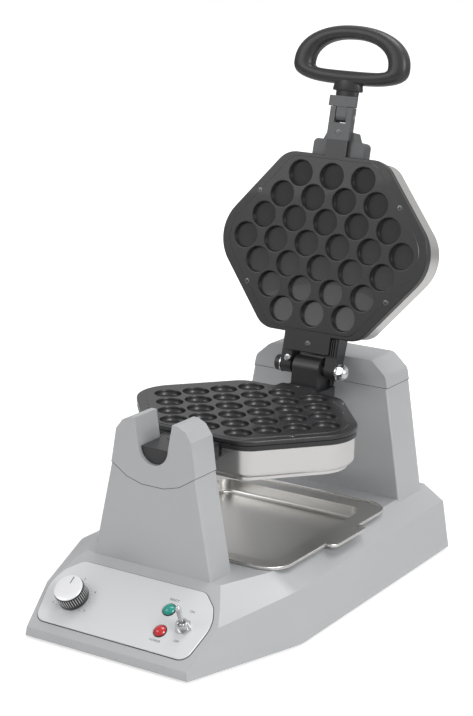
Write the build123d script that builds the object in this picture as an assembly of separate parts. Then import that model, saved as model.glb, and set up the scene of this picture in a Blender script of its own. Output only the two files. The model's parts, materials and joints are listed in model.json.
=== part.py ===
from build123d import *
import math
import os

# Turnover waffle maker with a hinged lid, shown open.
# X is to the right, Y to the back, Z up from the table, in millimetres.
# The front-to-back centre of the plates is at Y = 0 until the model is centred.

# Head: plates, rims and shells
axis_height = 179.4
plate_half_depth = 91.0
plate_flat_half = 56.0
plate_point_half = 131.0
point_round = 44.0
corner_round = 25.0
flange_thick = 5.0
core_inset = 9.0
core_depth = 15.0
bowl_pitch = 36.0
row_pitch = 23.2
bowl_radius = 13.5
bowl_depth = 10.5
bowl_sides = 14
widest_row = 6
rows_each_side = 3
rim_inset = 0.6
rim_height = 4.6
rim_wall = 12.0
rim_gap = 0.4
rim_core_gap = 0.3
shell_inset = 2.2
shell_height = 27.0
shell_wall = 1.2
shell_bottom_round = 5.0
pan_inset = 6.0
pan_height = 3.5
plate_gap = 0.5
element_inset = 36.0
element_radius = 3.4

# Plate fixing screws
screw_x = 80.5
screw_y = 47.0
screw_head_radius = 3.0
screw_head_height = 1.4
screw_head_proud = 0.15
screw_recess_gap = 0.2
screw_shank_radius = 1.6
screw_hole_gap = 0.15

# Lid hinge
hinge_y = 124.5
hinge_up = 13.9
lid_open_angle = 103.0
pin_radius = 4.0
pin_fit = 0.05
lug_radius = 12.6
lug_left = -14.0
lug_right = 16.0
ear_gap = 0.6
ear_width = 12.0
knuckle_radius = 8.4
washer_thick = 1.2
washer_radius = 9.0
nut_across = 15.0
nut_length = 6.0
nut_dome = 5.5
pin_head_length = 4.5
pin_head_radius = 7.0

# Front arms and trunnion
arm_lug_half = 29.0
arm_lug_reach = 16.0
arm_web_half = 14.5
arm_thick = 15.0
trunnion_fit = 0.08
trunnion_front = -152.0
trunnion_flat_drop = 1.0
shank_half = 12.6
shank_height = 13.0
shank_end = -140.0

# Rear shaft and bearing
shaft_radius = 12.0
shaft_fit = 0.05
shaft_end = 182.0
shaft_flange_radius = 19.0
shaft_flange_thick = 4.0
collar_radius = 17.0
collar_thick = 5.0
bearing_wall = 3.0
bearing_flange_radius = 18.0
bearing_flange_thick = 1.6
bearing_length = 20.0

# Handle
block_half = 15.4
turning_gap = 0.5
block_front = -151.0
block_height = 15.0
block_gap = 0.6
fold_pin_radius = 2.5
fold_pin_up = 7.0
fold_pin_short = 0.6
fold_tang_half = 6.0
fold_tang_reach = 9.0
fold_tang_round = 6.0
boss_half = 15.5
boss_reach = 14.0
loop_half_width = 65.0
loop_near = -163.0
loop_far = -222.5
loop_bar = 14.0
loop_side = 22.0
loop_thick = 18.0
loop_edge_round = 6.5
loop_shoulder = 27.0
loop_crown_half = 26.0
loop_hole_shoulder = 9.0
loop_hole_crown_half = 14.0

# Base housing
base_front_y = -229.0
base_wide_y = -101.3
base_rear_y = 206.2
base_front_half = 89.0
base_wide_half = 128.9
base_rear_half = 126.7
foot_lift = 2.5
deck_height = 65.2
shoulder_height = 50.8
side_lean = 8.8
front_shoulder_height = 35.8
front_deck_half = 47.7
deck_half = 95.0
skirt_height = 11.2
panel_angle = 36.5
housing_wall = 3.0
side_bend_round = 45.0

# Towers
front_tower_front = -156.0
front_tower_back = -121.5
front_tower_foot_half = 64.9
front_seam_half = 45.9
front_seam_drop = 20.4
front_seam_middle_drop = 36.0
front_seam_middle_half = 12.0
front_cap_half = 40.9
front_cap_shoulder = 12.1
front_cap_top = 25.4
notch_radius = 16.0
notch_mouth_half = 20.4
rear_tower_front = 144.3
rear_tower_back = 192.7
rear_tower_foot_half = 98.0
rear_seam_half = 78.5
rear_seam_drop = 0.0
rear_cap_half = 76.0
rear_cap_shoulder = 11.8
rear_cap_top = 26.5
rear_cap_top_half = 59.5
tower_edge_round = 2.2
cap_corner_round = 9.0
tower_wall = 3.5

# Control panel
panel_thick = 1.2
panel_bottom_half = 84.0
panel_wide_half = 89.5
panel_top_half = 74.0
panel_bottom_up = 7.0
panel_wide_up = 45.0
panel_top_up = 72.0
panel_round = 9.0
knob_x = -56.5
knob_up = 40.0
knob_radius = 14.2
knob_height = 17.5
knob_cap_radius = 12.6
knob_cap_thick = 1.0
knob_rib_count = 36
knob_rib_deep = 0.6
knob_gap = 0.6
dial_shaft_radius = 3.0
dial_bore_fit = 0.05
lamp_radius = 5.8
lamp_dome = 2.6
lamp_body_radius = 5.0
lamp_body_length = 18.0
ready_x = 40.7
ready_up = 53.5
power_x = 43.3
power_up = 31.0
toggle_x = 63.4
toggle_up = 40.5
toggle_nut_across = 14.0
toggle_nut_thick = 2.4
toggle_bush_radius = 5.9
toggle_bush_height = 7.0
toggle_lever_length = 20.0
toggle_lever_tip_radius = 2.7
toggle_lever_root_radius = 1.7
toggle_throw = 14.0
toggle_ball_radius = 3.4
toggle_bore_gap = 0.35

# Drip tray and its well
tray_half_width = 103.0
tray_front = -103.5
tray_back = 116.5
tray_corner = 24.0
tray_flange = 19.0
tray_depth = 14.0
tray_wall = 1.0
tray_lip = 2.2
tray_rise = 0.3
tray_tab_out = 10.5
tray_tab_front = -16.0
tray_tab_back = 48.0
well_gap = 1.5
well_drop = 17.0

# Underside and rear
cover_gap = 0.8
cover_thick = 1.5
foot_radius = 12.0
foot_inset_x = 26.0
foot_inset_front = 30.0
foot_inset_rear = 28.0
gland_x = 70.0
gland_up = 26.0
gland_radius = 8.0
gland_length = 12.0
gland_flange_radius = 10.5
gland_flange_thick = 2.5
gland_bore = 4.0


# Head outline and halves
def head_outline(inset):
    points = [
        (-plate_flat_half, -plate_half_depth),
        (plate_flat_half, -plate_half_depth),
        (plate_point_half, 0),
        (plate_flat_half, plate_half_depth),
        (-plate_flat_half, plate_half_depth),
        (-plate_point_half, 0),
    ]
    face = make_face(Polyline(points, close=True))
    tips = [v for v in face.vertices() if abs(v.Y) < 1]
    corners = [v for v in face.vertices() if abs(v.Y) > 1]
    face = fillet(tips, point_round)
    corners = [v for v in face.vertices() if abs(v.Y) > plate_half_depth - 1]
    face = fillet(corners, corner_round)
    if inset:
        face = offset(face, amount=-inset)
    return face


def slab(face, low, high):
    return extrude(Pos(0, 0, low) * face, high - low, dir=(0, 0, 1))


def bowl_places():
    places = []
    for row in range(-rows_each_side, rows_each_side + 1):
        count = widest_row - abs(row)
        for i in range(count):
            x = (i - (count - 1) / 2) * bowl_pitch
            places.append((x, row * row_pitch))
    return places


def ring_corners(radius, z, sides):
    angles = [2 * math.pi * i / sides for i in range(sides)]
    return [Vector(radius * math.cos(t), radius * math.sin(t), z) for t in angles]


def bowl_space():
    bands = [(0, 1.0), (-0.55 * bowl_depth, 0.84), (-bowl_depth, 0.40)]
    rings = [ring_corners(bowl_radius * share, z, bowl_sides) for z, share in bands]
    faces = [Face(Wire.make_polygon(rings[0])), Face(Wire.make_polygon(rings[-1]))]
    for upper, lower in zip(rings, rings[1:]):
        for i in range(bowl_sides):
            j = (i + 1) % bowl_sides
            faces.append(Face(Wire.make_polygon([upper[i], upper[j], lower[j], lower[i]])))
    return Solid(Shell(faces))


def screw_places():
    return [(sx * screw_x, sy * screw_y) for sx in (-1, 1) for sy in (-1, 1)]


def plate_half():
    plate = slab(head_outline(0), -flange_thick, 0)
    plate += slab(head_outline(core_inset), -core_depth, -flange_thick)
    for x, y in bowl_places():
        plate -= Pos(x, y, 0) * bowl_space()
    seat = screw_head_height - screw_head_proud
    for x, y in screw_places():
        plate -= Pos(x, y, 0) * Cylinder(screw_shank_radius + screw_hole_gap, 2 * flange_thick + 2)
        plate -= Pos(x, y, 0) * Cylinder(screw_head_radius + screw_recess_gap, 2 * seat)
    return plate


def rim_half():
    top = -flange_thick - rim_gap
    rim = slab(head_outline(rim_inset), top - rim_height, top)
    rim -= slab(head_outline(core_inset - rim_core_gap), top - rim_height - 1, top + 1)
    return rim


def rim_bottom():
    return -flange_thick - rim_gap - rim_height


def shell_half():
    top = rim_bottom()
    bottom = top - shell_height
    shell = slab(head_outline(shell_inset), bottom, top)
    low_edges = shell.faces().sort_by(Axis.Z)[0].edges()
    shell = fillet(low_edges, shell_bottom_round)
    inside = slab(head_outline(shell_inset + shell_wall), bottom + shell_wall, top + 1)
    low_edges = inside.faces().sort_by(Axis.Z)[0].edges()
    inside = fillet(low_edges, shell_bottom_round - shell_wall)
    return shell - inside


def pan_half():
    top = rim_bottom() - shell_height
    return slab(head_outline(shell_inset + pan_inset), top - pan_height, top)


def element_half():
    top = -core_depth
    ring = head_outline(element_inset) - head_outline(element_inset + 2 * element_radius)
    tube = slab(ring, top - 2 * element_radius, top)
    return chamfer(tube.edges().filter_by(lambda e: e.length > 1), 0.6 * element_radius)


def plate_screws():
    screws = []
    head_middle = screw_head_proud - screw_head_height / 2
    shank_length = flange_thick + rim_gap
    for x, y in screw_places():
        head = Pos(x, y, head_middle) * Cylinder(screw_head_radius, screw_head_height)
        shank = Pos(x, y, -shank_length / 2) * Cylinder(screw_shank_radius, shank_length)
        screws.append(head + shank)
    return screws


# Lower head: arm, trunnion, hinge bracket and shaft
def across(points, low, high):
    face = make_face(Polyline(points, close=True))
    return extrude(Plane.YZ.offset(low) * face, high - low)


def round_along_y(radius, low, high, up=0.0, x=0.0):
    disc = Plane.XZ.offset(-low) * Pos(x, up) * Circle(radius)
    return extrude(disc, -(high - low))


def round_along_x(radius, low, high, y=0.0, up=0.0):
    disc = Plane.YZ.offset(low) * Pos(y, up) * Circle(radius)
    return extrude(disc, high - low)


def arm_lugs(low, high):
    start = -plate_half_depth - arm_lug_reach
    points = [
        (-arm_lug_half, -plate_half_depth - 0.2),
        (-arm_lug_half, start),
        (-arm_web_half - 4, start),
        (-arm_web_half, start - 9),
        (arm_web_half, start - 9),
        (arm_web_half + 4, start),
        (arm_lug_half, start),
        (arm_lug_half, -plate_half_depth - 0.2),
    ]
    face = make_face(Polyline(points, close=True))
    outer = [v for v in face.vertices() if abs(abs(v.X) - arm_lug_half) < 0.1 and v.Y < -plate_half_depth - 5]
    face = fillet(outer, 5)
    return slab(face, low, high)


def lower_arm():
    top = -flange_thick - rim_gap
    lugs = arm_lugs(top - arm_thick, top)
    half = Plane.XZ * Circle(notch_radius - trunnion_fit)
    drum = round_along_y(notch_radius - trunnion_fit, trunnion_front, -plate_half_depth - arm_lug_reach - 5)
    cut = Pos(0, 0, 50 - trunnion_flat_drop) * Box(200, 600, 100)
    drum = drum - cut
    return lugs + drum


def lower_bracket():
    top = -flange_thick - rim_gap
    bottom = top - arm_thick
    foot = Pos(0, (plate_half_depth + 138) / 2 + 0.1, (top + bottom) / 2)
    foot = foot * Box(2 * 22, 138 - plate_half_depth - 0.2, arm_thick)
    lug = round_along_x(lug_radius, lug_left, lug_right, hinge_y, hinge_up)
    web = across(
        [
            (hinge_y - lug_radius, hinge_up),
            (hinge_y - lug_radius - 2, top - 1),
            (137, top - 1),
            (hinge_y + lug_radius, hinge_up),
        ],
        lug_left,
        lug_right,
    )
    bore = round_along_x(pin_radius + pin_fit, lug_left - 1, lug_right + 1, hinge_y, hinge_up)
    disc = round_along_y(shaft_flange_radius, 134.0, 138.0, 0)
    return foot + lug + web + disc - bore


def rear_shaft():
    flange = round_along_y(shaft_flange_radius - 2, 138.0, 138.0 + shaft_flange_thick)
    shaft = round_along_y(shaft_radius, 138.0 + shaft_flange_thick, shaft_end)
    return flange + shaft


def shaft_collar():
    collar = round_along_y(collar_radius, shaft_end - collar_thick - 2, shaft_end - 2)
    return collar - round_along_y(shaft_radius, shaft_end - 20, shaft_end + 20)


def ear_right():
    return lug_right + ear_gap + 4.0


def ear_left():
    return lug_left - ear_gap - 4.0


def hinge_pin():
    left = ear_left() - ear_width - washer_thick
    right = ear_right() + ear_width + washer_thick + nut_length
    pin = round_along_x(pin_radius, left, right, hinge_y, hinge_up)
    head = round_along_x(pin_head_radius, left - pin_head_length, left, hinge_y, hinge_up)
    head = fillet(head.faces().sort_by(Axis.X)[0].edges(), 2.0)
    return pin + head


def hinge_nut():
    start = ear_right() + ear_width + washer_thick
    hexagon = RegularPolygon(nut_across / math.sqrt(3), 6)
    nut = extrude(Plane.YZ.offset(start) * Pos(hinge_y, hinge_up) * hexagon, nut_length + nut_dome)
    ball = (nut_length + nut_dome) * 0.74
    nut = nut & (Pos(start + nut_length + nut_dome - ball, hinge_y, hinge_up) * Sphere(ball))
    bore = round_along_x(pin_radius + pin_fit, start - 1, start + nut_length + 0.1, hinge_y, hinge_up)
    return nut - bore


def hinge_washers():
    spots = [ear_right() + ear_width, ear_left() - ear_width - washer_thick]
    rings = []
    for start in spots:
        ring = round_along_x(washer_radius, start, start + washer_thick, hinge_y, hinge_up)
        bore = round_along_x(pin_radius + pin_fit, start - 1, start + 3, hinge_y, hinge_up)
        rings.append(ring - bore)
    return rings


def hinge_sleeve():
    low = lug_right + ear_gap / 2
    high = ear_right() - ear_gap / 2
    sleeve = round_along_x(6.5, low, high, hinge_y, hinge_up)
    other = round_along_x(6.5, ear_left() + ear_gap / 2, lug_left - ear_gap / 2, hinge_y, hinge_up)
    hole = round_along_x(pin_radius + pin_fit, -100, 100, hinge_y, hinge_up)
    return [sleeve - hole, other - hole]


# Lid: bracket, arm and its shank, in the closed place
def lid_bracket():
    low = plate_gap + flange_thick + rim_gap
    high = low + arm_thick
    parts = None
    for start in (ear_right(), ear_left() - ear_width):
        points = [
            (plate_half_depth + 0.2, low),
            (plate_half_depth + 0.2, high + 4),
            (hinge_y - 8, hinge_up + knuckle_radius),
            (hinge_y, hinge_up + knuckle_radius),
            (hinge_y, hinge_up - knuckle_radius),
        ]
        ear = across(points, start, start + ear_width)
        ear += round_along_x(knuckle_radius, start, start + ear_width, hinge_y, hinge_up)
        ear -= round_along_x(pin_radius + pin_fit, start - 1, start + ear_width + 1, hinge_y, hinge_up)
        parts = ear if parts is None else parts + ear
    span = ear_right() + ear_width - (ear_left() - ear_width)
    middle = (ear_right() + ear_width + ear_left() - ear_width) / 2
    bar_depth = 8.0
    bar = Pos(middle, plate_half_depth + 0.2 + bar_depth / 2, (low + high) / 2)
    parts += bar * Box(span, bar_depth, arm_thick)
    return parts


def lid_arm():
    low = plate_gap + flange_thick + rim_gap
    lugs = arm_lugs(low, low + arm_thick)
    shank_start = -plate_half_depth - arm_lug_reach
    length = shank_start - shank_end
    shank = Pos(0, (shank_start + shank_end) / 2, plate_gap + shank_height / 2 + 0.2)
    shank = shank * Box(2 * shank_half, length, shank_height)
    slot = Pos(0, shank_end, plate_gap + shank_height / 2 + 0.2)
    gap = 2 * fold_tang_half + 2 * block_gap
    slot = slot * Box(gap, 2 * (fold_tang_reach + 7.0), shank_height + 2)
    shank = shank & turning_circle(shank_end - 1, shank_start + 1)
    pin_y = shank_end + fold_tang_reach
    pin_up = plate_gap + fold_pin_up
    nose = Pos(0, shank_end - 1, pin_up) * Box(60, fold_tang_reach + 1, 20, align=(Align.CENTER, Align.MIN, Align.MIN))
    shank -= nose - round_along_x(fold_tang_reach, -40, 40, pin_y, pin_up)
    arm = lugs + shank - slot
    hole = round_along_x(fold_pin_radius, -40, 40, shank_end + fold_tang_reach, plate_gap + fold_pin_up)
    return arm - hole


def turning_circle(low, high):
    return round_along_y(notch_radius - turning_gap, low, high)


def fold_pin():
    half = shank_half - fold_pin_short
    return round_along_x(
        fold_pin_radius, -half, half, shank_end + fold_tang_reach, plate_gap + fold_pin_up
    )


def handle_block():
    low = plate_gap + 0.2
    back = shank_end - block_gap
    block = Pos(0, (block_front + back) / 2, low + block_height / 2)
    block = block * Box(2 * block_half, back - block_front, block_height)
    block = block & turning_circle(block_front - 1, back + 1)
    pin_y = shank_end + fold_tang_reach
    up = plate_gap + fold_pin_up
    tang = Pos(0, (pin_y + back) / 2, up) * Box(2 * fold_tang_half, pin_y - back + 0.5, 2 * fold_tang_round)
    tang += round_along_x(fold_tang_round, -fold_tang_half, fold_tang_half, pin_y, up)
    tang -= round_along_x(fold_pin_radius + pin_fit, -20, 20, pin_y, up)
    return block + tang


def d_loop(half, near, far, shoulder, crown_half, low_round, side_round, crown_round):
    points = [(-half, near), (half, near), (half, near - shoulder)]
    points += [(crown_half, far), (-crown_half, far), (-half, near - shoulder)]
    face = make_face(Polyline(points, close=True))
    for wanted, radius in ((near, low_round), (near - shoulder, side_round), (far, crown_round)):
        corners = [v for v in face.vertices() if abs(v.Y - wanted) < 0.01]
        corners = [v for v in corners if abs(abs(v.X) - half) < 0.01 or wanted == far]
        face = fillet(corners, radius)
    return face


def handle_grip():
    mid = plate_gap + 0.2 + block_height / 2
    outer = d_loop(
        loop_half_width, loop_near, loop_far, loop_shoulder, loop_crown_half, 20.0, 14.0, 56.0
    )
    inner = d_loop(
        loop_half_width - loop_side,
        loop_near - loop_bar,
        loop_far + loop_bar,
        loop_hole_shoulder,
        loop_hole_crown_half,
        6.0,
        5.5,
        38.0,
    )
    loop = slab(outer - inner, mid - loop_thick / 2, mid + loop_thick / 2)
    rims = [e for e in loop.edges() if abs(abs(e.center().Z - mid) - loop_thick / 2) < 0.01]
    loop = fillet(rims, loop_edge_round)
    boss = Plane.XZ.offset(-block_front) * Pos(0, mid) * Ellipse(boss_half, loop_thick / 2 - 0.5)
    boss = extrude(boss, loop_bar / 2 - (loop_near - block_front), dir=(0, -1, 0))
    front = front_tower_front - turning_gap
    neck = Box(3 * boss_half, block_front - front, 2 * loop_thick)
    neck = Pos(0, (front + block_front) / 2, mid) * neck
    boss -= neck - turning_circle(front - 1, block_front + 1)
    return loop + boss


def open_lid(part):
    turn = Pos(0, hinge_y, hinge_up) * Rot(-lid_open_angle, 0, 0) * Pos(0, -hinge_y, -hinge_up)
    return turn * part


def flip_up(part):
    return Pos(0, 0, plate_gap) * mirror(part, about=Plane.XY)


# Base
def base_section(y, half, shoulder, deck_half, inset, low):
    outer = half - inset
    lean = side_lean * (shoulder - low) / (shoulder_height - foot_lift)
    points = [
        (-outer, low),
        (outer, low),
        (outer - lean, shoulder - inset),
        (deck_half - inset / 2, deck_height - inset),
        (-deck_half + inset / 2, deck_height - inset),
        (-outer + lean, shoulder - inset),
    ]
    return Pos(0, y, 0) * (Plane.XZ * make_face(Polyline(points, close=True)))


def base_form(inset, low):
    front = (base_front_y + inset, base_front_half, front_shoulder_height, front_deck_half)
    wide = (base_wide_y, base_wide_half, shoulder_height, deck_half)
    rear = (base_rear_y - inset, base_rear_half, shoulder_height, deck_half)
    sections = [base_section(*place, inset, low) for place in (front, wide, rear)]
    form = loft(sections, ruled=True)
    return form - slope_cut(inset)


def slope_frame(lift=0.0):
    origin = Vector(0, base_front_y, skirt_height)
    normal = Vector(0, -math.sin(math.radians(panel_angle)), math.cos(math.radians(panel_angle)))
    return Plane(origin=origin + normal * lift, x_dir=(1, 0, 0), z_dir=normal)


def slope_cut(inset):
    return slope_frame(-inset) * Pos(0, 0, 100) * Box(600, 800, 200)


def rounded_plan(x_half, front, back, radius):
    middle = Pos(0, (front + back) / 2)
    return middle * RectangleRounded(2 * x_half, back - front, radius)


def well_space():
    inset = tray_flange - well_gap
    face = rounded_plan(
        tray_half_width - inset, tray_front + inset, tray_back - inset, tray_corner - inset / 2
    )
    return slab(face, deck_height - well_drop, deck_height + 20)


def well_block():
    inset = tray_flange - well_gap - housing_wall
    face = rounded_plan(
        tray_half_width - inset, tray_front + inset, tray_back - inset, tray_corner - inset / 2
    )
    return slab(face, deck_height - well_drop - housing_wall, deck_height)


def panel_place(x, up):
    return slope_frame() * Pos(x, up, 0)


def base_outer():
    form = base_form(0, foot_lift)
    bends = [e for e in form.edges() if abs(e.center().Y - base_wide_y) < 0.5 and abs(e.center().X) > 100]
    form = fillet(bends, side_bend_round)
    return form


def base_housing():
    outer = base_outer()
    cavity = base_form(housing_wall, foot_lift - 1)
    cavity = cavity - well_block()
    housing = outer - cavity - well_space()
    for x, up, radius in panel_holes():
        housing -= panel_place(x, up) * Cylinder(radius, 30)
    housing -= Pos(gland_x, base_rear_y, gland_up) * Rot(90, 0, 0) * Cylinder(gland_radius, 30)
    return housing


def panel_holes():
    return [
        (knob_x, knob_up, dial_shaft_radius + 2.0),
        (ready_x, ready_up, lamp_body_radius),
        (power_x, power_up, lamp_body_radius),
        (toggle_x, toggle_up, toggle_bush_radius),
    ]


def bottom_cover():
    inset = housing_wall + cover_gap
    points = [
        (-base_front_half + inset, base_front_y + inset),
        (base_front_half - inset, base_front_y + inset),
        (base_wide_half - inset, base_wide_y),
        (base_rear_half - inset, base_rear_y - inset),
        (-base_rear_half + inset, base_rear_y - inset),
        (-base_wide_half + inset, base_wide_y),
    ]
    face = make_face(Polyline(points, close=True))
    return slab(face, foot_lift, foot_lift + cover_thick)


def foot_places():
    front = base_front_y + foot_inset_front
    rear = base_rear_y - foot_inset_rear
    front_x = base_front_half - foot_inset_x
    rear_x = base_rear_half - foot_inset_x
    return [(-front_x, front), (front_x, front), (-rear_x, rear), (rear_x, rear)]


def rubber_feet():
    feet = []
    for x, y in foot_places():
        foot = Pos(x, y, foot_lift / 2) * Cylinder(foot_radius, foot_lift)
        feet.append(foot)
    return feet


# Towers
def facing(points, front, back):
    face = make_face(Polyline(points, close=True))
    return extrude(Plane.XZ.offset(-front) * face, -(back - front))


def front_seam_points():
    side = axis_height - front_seam_drop
    middle = axis_height - front_seam_middle_drop
    return [
        (front_seam_half, side),
        (front_seam_half * 0.62, middle + 4.5),
        (front_seam_middle_half, middle),
        (-front_seam_middle_half, middle),
        (-front_seam_half * 0.62, middle + 4.5),
        (-front_seam_half, side),
    ]


def front_tower():
    points = [(-front_tower_foot_half, deck_height), (front_tower_foot_half, deck_height)]
    tower = facing(points + front_seam_points(), front_tower_front, front_tower_back)
    sides = [e for e in tower.edges() if abs(e.tangent_at(0.5).Z) > 0.8 and abs(e.center().X) > 50]
    tower = fillet(sides, tower_edge_round)
    top = axis_height - front_seam_middle_drop - tower_wall
    return tower - tower_hollow(
        front_tower_foot_half, deck_height, front_seam_half + 2, top, front_tower_front, front_tower_back
    )


def tower_hollow(foot_half, low, top_half, high, front, back):
    points = [
        (-foot_half + tower_wall, low - 1),
        (foot_half - tower_wall, low - 1),
        (top_half - tower_wall, high),
        (-top_half + tower_wall, high),
    ]
    return facing(points, front + tower_wall, back - tower_wall)


def front_cap():
    top = axis_height + front_cap_top
    shoulder = axis_height + front_cap_shoulder
    points = list(reversed(front_seam_points()))
    points += [
        (front_cap_half, shoulder),
        (front_cap_half - 7, top - 4),
        (front_cap_half - 15, top),
        (-front_cap_half + 15, top),
        (-front_cap_half + 7, top - 4),
        (-front_cap_half, shoulder),
    ]
    cap = facing(points, front_tower_front, front_tower_back)
    notch = round_along_y(notch_radius, front_tower_front - 1, front_tower_back + 1, axis_height)
    mouth = facing(
        [
            (-notch_radius, axis_height),
            (notch_radius, axis_height),
            (notch_mouth_half, top + 1),
            (-notch_mouth_half, top + 1),
        ],
        front_tower_front - 1,
        front_tower_back + 1,
    )
    return cap - notch - mouth


def rear_tower_low():
    return shoulder_height - 6


def rear_tower():
    lean = (rear_tower_foot_half - rear_seam_half) / (axis_height - rear_seam_drop - deck_height)
    low = rear_tower_low()
    foot = rear_tower_foot_half + lean * (deck_height - low)
    seam = axis_height - rear_seam_drop
    points = [(-foot, low), (foot, low), (rear_seam_half, seam), (-rear_seam_half, seam)]
    tower = facing(points, rear_tower_front, rear_tower_back)
    sides = [e for e in tower.edges() if abs(e.tangent_at(0.5).Z) > 0.8 and abs(e.center().X) > 50]
    tower = fillet(sides, tower_edge_round)
    top = axis_height - collar_radius - 2 - tower_wall
    hollow = tower_hollow(foot, low, rear_seam_half + 4, top, rear_tower_front, rear_tower_back)
    return tower - hollow - base_outer() - shaft_space()


def shaft_space():
    inner = round_along_y(collar_radius + 2, rear_tower_front + bearing_length, shaft_end + 3, axis_height)
    hole_radius = shaft_radius + shaft_fit + bearing_wall
    return inner + round_along_y(hole_radius, rear_tower_front - 1, rear_tower_front + bearing_length, axis_height)


def rear_cap():
    seam = axis_height - rear_seam_drop
    top = axis_height + rear_cap_top
    shoulder = axis_height + rear_cap_shoulder
    points = [
        (-rear_seam_half, seam),
        (rear_seam_half, seam),
        (rear_cap_half, shoulder),
        (rear_cap_top_half, top),
        (-rear_cap_top_half, top),
        (-rear_cap_half, shoulder),
    ]
    cap = facing(points, rear_tower_front, rear_tower_back)
    corners = [e for e in cap.edges() if abs(e.tangent_at(0.5).Y) > 0.9 and e.center().Z > seam + 5]
    cap = fillet(corners, cap_corner_round)
    return cap - shaft_space()


def rear_bearing():
    outer = shaft_radius + shaft_fit + bearing_wall
    sleeve = round_along_y(outer, rear_tower_front, rear_tower_front + bearing_length, axis_height)
    flange = round_along_y(
        bearing_flange_radius, rear_tower_front - bearing_flange_thick, rear_tower_front, axis_height
    )
    return sleeve + flange - round_along_y(shaft_radius + shaft_fit, 100, 200, axis_height)


# Control panel and what stands on it
def panel_outline():
    points = [
        (-panel_bottom_half, panel_bottom_up),
        (panel_bottom_half, panel_bottom_up),
        (panel_wide_half, panel_wide_up),
        (panel_top_half, panel_top_up),
        (-panel_top_half, panel_top_up),
        (-panel_wide_half, panel_wide_up),
    ]
    face = make_face(Polyline(points, close=True))
    return fillet(face.vertices(), panel_round)


def control_panel():
    panel = slope_frame() * extrude(panel_outline(), panel_thick)
    for x, up, radius in panel_holes():
        panel -= panel_place(x, up) * Cylinder(radius, 30)
    return panel


def stand(x, up, low, high, radius):
    return panel_place(x, up) * Pos(0, 0, (low + high) / 2) * Cylinder(radius, high - low)


def dial_knob():
    low = panel_thick + knob_gap
    high = low + knob_height
    profile = Circle(knob_radius)
    for i in range(knob_rib_count):
        angle = 360 * i / knob_rib_count
        place = Rot(0, 0, angle) * Pos(knob_radius, 0)
        profile -= place * Rectangle(2 * knob_rib_deep, 1.0)
    skirt = extrude(profile, knob_height - knob_cap_thick)
    skirt = panel_place(knob_x, knob_up) * Pos(0, 0, low) * skirt
    return skirt - stand(knob_x, knob_up, low - 1, high - 4, dial_shaft_radius)


def dial_cap():
    low = panel_thick + knob_gap + knob_height - knob_cap_thick
    cap = stand(knob_x, knob_up, low, low + knob_cap_thick + 1.0, knob_cap_radius)
    return chamfer(cap.edges(), 0.8)


def dial_shaft():
    return stand(knob_x, knob_up, -14, panel_thick + knob_gap + knob_height - 4, dial_shaft_radius)


def thermostat():
    body = panel_place(knob_x, knob_up) * Pos(0, 0, -housing_wall - 9) * Box(34, 34, 18)
    return body - stand(knob_x, knob_up, -40, 10, dial_shaft_radius + dial_bore_fit)


def lamp_lens(x, up):
    low = panel_thick
    ring = stand(x, up, low, low + 1.2, lamp_radius)
    ball = (lamp_radius**2 + lamp_dome**2) / (2 * lamp_dome)
    dome = panel_place(x, up) * Pos(0, 0, low + 1.2 + lamp_dome - ball) * Sphere(ball)
    dome -= panel_place(x, up) * Pos(0, 0, low + 1.2 - 50) * Box(100, 100, 100)
    return ring + dome


def lamp_body(x, up):
    return stand(x, up, -lamp_body_length, panel_thick, lamp_body_radius)


def toggle_nut():
    nut = extrude(RegularPolygon(toggle_nut_across / math.sqrt(3), 6), toggle_nut_thick)
    nut = panel_place(toggle_x, toggle_up) * Pos(0, 0, panel_thick) * nut
    return nut - stand(toggle_x, toggle_up, 0, 20, toggle_bush_radius)


def toggle_bush():
    high = panel_thick + toggle_bush_height
    bush = stand(toggle_x, toggle_up, -housing_wall - 2, high, toggle_bush_radius)
    funnel = panel_place(toggle_x, toggle_up) * Pos(0, 0, toggle_pivot_up())
    space = Sphere(toggle_ball_radius + toggle_bore_gap)
    cone = Pos(0, 0, 10) * Cone(toggle_lever_root_radius + 0.8, toggle_bush_radius * 1.9, 20)
    return bush - funnel * (space + cone)


def toggle_pivot_up():
    return panel_thick + toggle_bush_height - 3.6


def toggle_lever():
    ball = Sphere(toggle_ball_radius)
    stick = Pos(0, 0, toggle_lever_length / 2) * Cone(
        toggle_lever_root_radius, toggle_lever_tip_radius, toggle_lever_length
    )
    tip = Pos(0, 0, toggle_lever_length) * Sphere(toggle_lever_tip_radius)
    lean = panel_place(toggle_x, toggle_up) * Pos(0, 0, toggle_pivot_up()) * Rot(-toggle_throw, 0, 0)
    return lean * (ball + stick + tip)


def toggle_body():
    return panel_place(toggle_x, toggle_up) * Pos(0, 0, -housing_wall - 2 - 11) * Box(13, 28, 22)


# Drip tray
def tray_outline(extra):
    face = rounded_plan(
        tray_half_width + extra, tray_front - extra, tray_back + extra, tray_corner + extra
    )
    middle = (tray_tab_front + tray_tab_back) / 2
    length = tray_tab_back - tray_tab_front + 2 * extra
    for side in (-1, 1):
        tab = Pos(side * (tray_half_width - 10), middle)
        face += tab * RectangleRounded(2 * (tray_tab_out + 10) + 2 * extra, length, 8)
    return face


def drip_tray():
    base = deck_height + tray_rise
    flange = slab(tray_outline(0), base, base + tray_wall)
    inset = tray_flange
    pan = rounded_plan(
        tray_half_width - inset, tray_front + inset, tray_back - inset, tray_corner - inset / 2
    )
    bowl = slab(pan, base - tray_depth, base + tray_wall)
    bowl = fillet(bowl.faces().sort_by(Axis.Z)[0].edges(), 5.0)
    hollow = slab(offset(pan, amount=-tray_wall), base - tray_depth + tray_wall, base + tray_wall + 1)
    hollow = fillet(hollow.faces().sort_by(Axis.Z)[0].edges(), 4.0)
    lip = slab(tray_outline(0), base, base + tray_lip) - slab(tray_outline(-1.2), base - 1, base + 10)
    return flange + bowl + lip - hollow


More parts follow.
